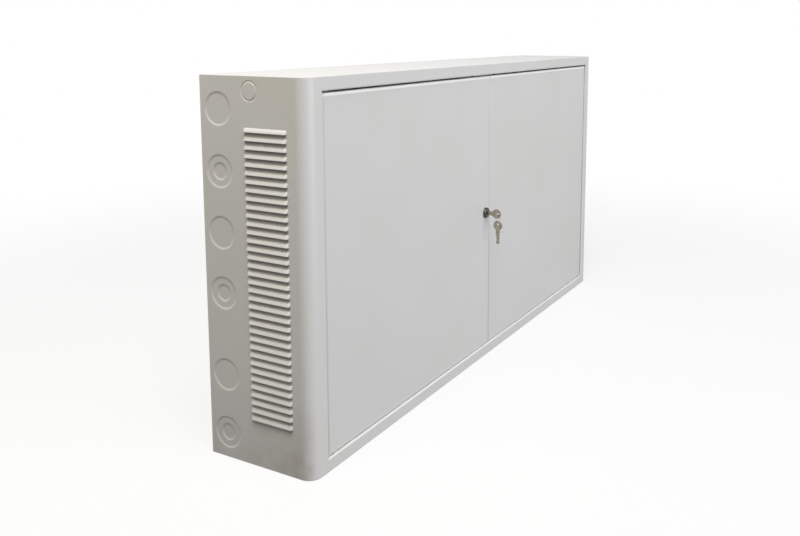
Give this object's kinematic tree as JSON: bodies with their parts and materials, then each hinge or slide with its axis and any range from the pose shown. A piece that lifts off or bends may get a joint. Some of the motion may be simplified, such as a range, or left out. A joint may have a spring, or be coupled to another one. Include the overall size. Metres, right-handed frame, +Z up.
{
  "type": "zone cabling enclosure",
  "caption": "Wall-mounted steel cabinet with rolled front corners, louvred and knockout sides, a pair of hinged doors with a cam lock, and rack rails inside.",
  "frame": {"origin": "centre of the four wall fixing holes, on the outside of the back", "axes": "+X to the right seen from the front, +Y into the wall, +Z up"},
  "size_m": [1.2276, 0.2383, 0.61],
  "materials": {
    "painted_steel": "light grey powder coat, fine satin",
    "zinc_steel": "zinc plated",
    "copper": "bare copper bar",
    "insulator": "moulded",
    "rubber": "moulded",
    "nylon": "moulded",
    "lock_chrome": "polished plating",
    "key_nickel": "nickel plated, worn",
    "ring_steel": "plated wire"
  },
  "bodies": {
    "cabinet": {"front_frame": "painted_steel", "left_side": "painted_steel", "right_side": "painted_steel", "rear_pan": "painted_steel", "left_bay_outer_rail": "zinc_steel", "left_bay_inner_rail": "zinc_steel", "right_bay_inner_rail": "zinc_steel", "right_bay_outer_rail": "zinc_steel", "rail_studs": "zinc_steel", "rail_nuts": "zinc_steel", "ground_bar": "copper", "ground_standoffs": "insulator", "ground_screws": "zinc_steel", "upper_door_stop": "painted_steel", "lower_door_stop": "painted_steel", "door_bumpers": "rubber", "hinge_pins": "zinc_steel"},
    "left_leaf": {"left_door": "painted_steel", "left_door_stiffener": "painted_steel", "left_hinge_plates": "zinc_steel", "left_hinge_bushes": "nylon", "lock_housing": "lock_chrome", "lock_nut": "zinc_steel"},
    "lock_core": {"lock_plug": "lock_chrome", "lock_cam": "zinc_steel", "cam_screw": "zinc_steel", "door_key": "key_nickel"},
    "hanging_ring": {"key_ring": "ring_steel"},
    "hanging_key": {"spare_key": "key_nickel"},
    "right_leaf": {"right_door": "painted_steel", "right_door_stiffener": "painted_steel", "right_hinge_plates": "zinc_steel", "right_hinge_bushes": "nylon", "bolt_guides": "zinc_steel"},
    "bolt_up": {"upper_bolt": "zinc_steel"},
    "bolt_down": {"lower_bolt": "zinc_steel"}
  },
  "joints": [
    {"name": "left_door_swing", "type": "hinge", "parent": "cabinet", "child": "left_leaf", "pos_m": [-0.5535, -0.193, 0], "axis": [0, 0, -1], "range_deg": [0, 110]},
    {"name": "right_door_swing", "type": "hinge", "parent": "cabinet", "child": "right_leaf", "pos_m": [0.5535, -0.193, 0], "axis": [0, 0, 1], "range_deg": [0, 110]},
    {"name": "lock_turn", "type": "hinge", "parent": "left_leaf", "child": "lock_core", "pos_m": [-0.0181, -0.2, 0], "axis": [0, -1, 0], "range_deg": [0, 90]},
    {"name": "key_ring_swing", "type": "hinge", "parent": "lock_core", "child": "hanging_ring", "pos_m": [-0.0181, -0.2285, -0.0015], "axis": [-1, 0, 0], "range_deg": [-10, 45]},
    {"name": "spare_key_swing", "type": "hinge", "parent": "hanging_ring", "child": "hanging_key", "pos_m": [-0.0181, -0.2285, -0.0195], "axis": [-1, 0, 0], "range_deg": [-10, 30]},
    {"name": "upper_bolt_slide", "type": "slide", "parent": "right_leaf", "child": "bolt_up", "axis": [0, 0, 1], "range_m": [0, 0.014]},
    {"name": "lower_bolt_slide", "type": "slide", "parent": "right_leaf", "child": "bolt_down", "axis": [0, 0, -1], "range_m": [0, 0.014]}
  ]
}
